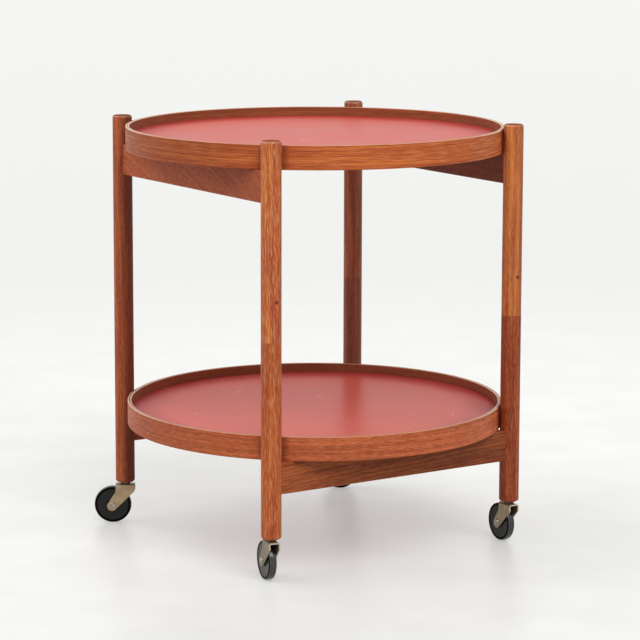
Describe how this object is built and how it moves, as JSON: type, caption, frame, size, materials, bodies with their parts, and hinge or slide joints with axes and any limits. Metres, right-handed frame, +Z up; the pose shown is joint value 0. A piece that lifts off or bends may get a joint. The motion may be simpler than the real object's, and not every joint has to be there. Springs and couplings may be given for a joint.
{
  "type": "serving trolley",
  "caption": "Folding wooden serving trolley with two round lift-off trays in bent hoops, on a square frame of turned legs and rails with swivel casters.",
  "frame": {"origin": "on the floor under the middle of the trays", "axes": "+Z up, with the rails along X and Y; the legs stand at the corners of a square, front leg at -X -Y and right leg at +X -Y"},
  "size_m": [0.4999, 0.5, 0.5585],
  "materials": {
    "teak_lower": "oiled",
    "teak_upper": "oiled",
    "teak_hoop": "oiled",
    "plywood": "raw",
    "red_laminate": "satin",
    "dowel_wood": "raw",
    "dark_pin": "blackened",
    "fork_steel": "bronze enamel",
    "bright_steel": "zinc plated",
    "black_wheel": "polished moulded"
  },
  "bodies": {
    "lower_front": {"rail_lower_front": "teak_lower", "leg_lower_front": "teak_lower", "leg_lower_right": "teak_lower", "caster_socket_front": "bright_steel", "caster_socket_right": "bright_steel"},
    "lower_back": {"rail_lower_back": "teak_lower", "leg_lower_back": "teak_lower", "leg_lower_left": "teak_lower", "caster_socket_back": "bright_steel", "caster_socket_left": "bright_steel"},
    "upper_left": {"rail_upper_left": "teak_upper", "leg_upper_left": "teak_upper", "leg_upper_front": "teak_upper", "pivot_dowel_left": "dowel_wood", "pivot_dowel_front": "dowel_wood", "cross_pin_left": "dark_pin", "cross_pin_front": "dark_pin"},
    "upper_right": {"rail_upper_right": "teak_upper", "leg_upper_right": "teak_upper", "leg_upper_back": "teak_upper", "pivot_dowel_right": "dowel_wood", "pivot_dowel_back": "dowel_wood", "cross_pin_right": "dark_pin", "cross_pin_back": "dark_pin"},
    "lower_tray": {"lower_tray_hoop": "teak_hoop", "lower_tray_core": "plywood", "lower_tray_laminate_top": "red_laminate", "lower_tray_laminate_bottom": "red_laminate"},
    "upper_tray": {"upper_tray_hoop": "teak_hoop", "upper_tray_core": "plywood", "upper_tray_laminate_top": "red_laminate", "upper_tray_laminate_bottom": "red_laminate"},
    "caster_left": {"caster_fork_left": "fork_steel", "caster_stem_left": "bright_steel", "caster_washer_left": "bright_steel", "caster_axle_left": "bright_steel"},
    "wheel_left": {"caster_wheel_left": "black_wheel", "caster_bush_left": "bright_steel"},
    "caster_front": {"caster_fork_front": "fork_steel", "caster_stem_front": "bright_steel", "caster_washer_front": "bright_steel", "caster_axle_front": "bright_steel"},
    "wheel_front": {"caster_wheel_front": "black_wheel", "caster_bush_front": "bright_steel"},
    "caster_right": {"caster_fork_right": "fork_steel", "caster_stem_right": "bright_steel", "caster_washer_right": "bright_steel", "caster_axle_right": "bright_steel"},
    "wheel_right": {"caster_wheel_right": "black_wheel", "caster_bush_right": "bright_steel"},
    "caster_back": {"caster_fork_back": "fork_steel", "caster_stem_back": "bright_steel", "caster_washer_back": "bright_steel", "caster_axle_back": "bright_steel"},
    "wheel_back": {"caster_wheel_back": "black_wheel", "caster_bush_back": "bright_steel"}
  },
  "joints": [
    {"name": "frame_fold", "type": "hinge", "parent": "lower_front", "child": "upper_left", "pos_m": [-0.18654, -0.18654, 0.3075], "axis": [0, 0, 1], "range_deg": [-0.1, 0.1]},
    {"name": "right_leg_pivot", "type": "hinge", "parent": "lower_front", "child": "upper_right", "pos_m": [0.18654, -0.18654, 0.3075], "axis": [0, 0, 1], "range_deg": [-0.1, 0.1]},
    {"name": "back_leg_pivot", "type": "hinge", "parent": "upper_right", "child": "lower_back", "pos_m": [0.18654, 0.18654, 0.3075], "axis": [0, 0, 1], "range_deg": [-0.1, 0.1]},
    {"name": "lower_tray_lift", "type": "slide", "parent": "lower_front", "child": "lower_tray", "axis": [0, 0, 1], "range_m": [0, 0.2945]},
    {"name": "upper_tray_lift", "type": "slide", "parent": "upper_left", "child": "upper_tray", "axis": [0, 0, 1], "range_m": [0, 0.25]},
    {"name": "swivel_left", "type": "hinge", "parent": "lower_back", "child": "caster_left", "pos_m": [-0.18654, 0.18654, 0.0565], "axis": [0, 0, 1], "continuous": true},
    {"name": "roll_left", "type": "hinge", "parent": "caster_left", "child": "wheel_left", "pos_m": [-0.20079, 0.19579, 0.025], "axis": [-0.5446, -0.8387, 0], "continuous": true},
    {"name": "swivel_front", "type": "hinge", "parent": "lower_front", "child": "caster_front", "pos_m": [-0.18654, -0.18654, 0.0565], "axis": [0, 0, 1], "continuous": true},
    {"name": "roll_front", "type": "hinge", "parent": "caster_front", "child": "wheel_front", "pos_m": [-0.18271, -0.16997, 0.025], "axis": [-0.9744, 0.225, 0], "continuous": true},
    {"name": "swivel_right", "type": "hinge", "parent": "lower_front", "child": "caster_right", "pos_m": [0.18654, -0.18654, 0.0565], "axis": [0, 0, 1], "continuous": true},
    {"name": "roll_right", "type": "hinge", "parent": "caster_right", "child": "wheel_right", "pos_m": [0.18772, -0.16958, 0.025], "axis": [-0.9976, 0.0698, 0], "continuous": true},
    {"name": "swivel_back", "type": "hinge", "parent": "lower_back", "child": "caster_back", "pos_m": [0.18654, 0.18654, 0.0565], "axis": [0, 0, 1], "continuous": true},
    {"name": "roll_back", "type": "hinge", "parent": "caster_back", "child": "wheel_back", "pos_m": [0.17228, 0.19579, 0.025], "axis": [-0.5446, -0.8387, 0], "continuous": true}
  ],
  "couplings": [
    {"joint": "right_leg_pivot", "follows": "frame_fold", "ratio": 1},
    {"joint": "back_leg_pivot", "follows": "frame_fold", "ratio": -1}
  ]
}
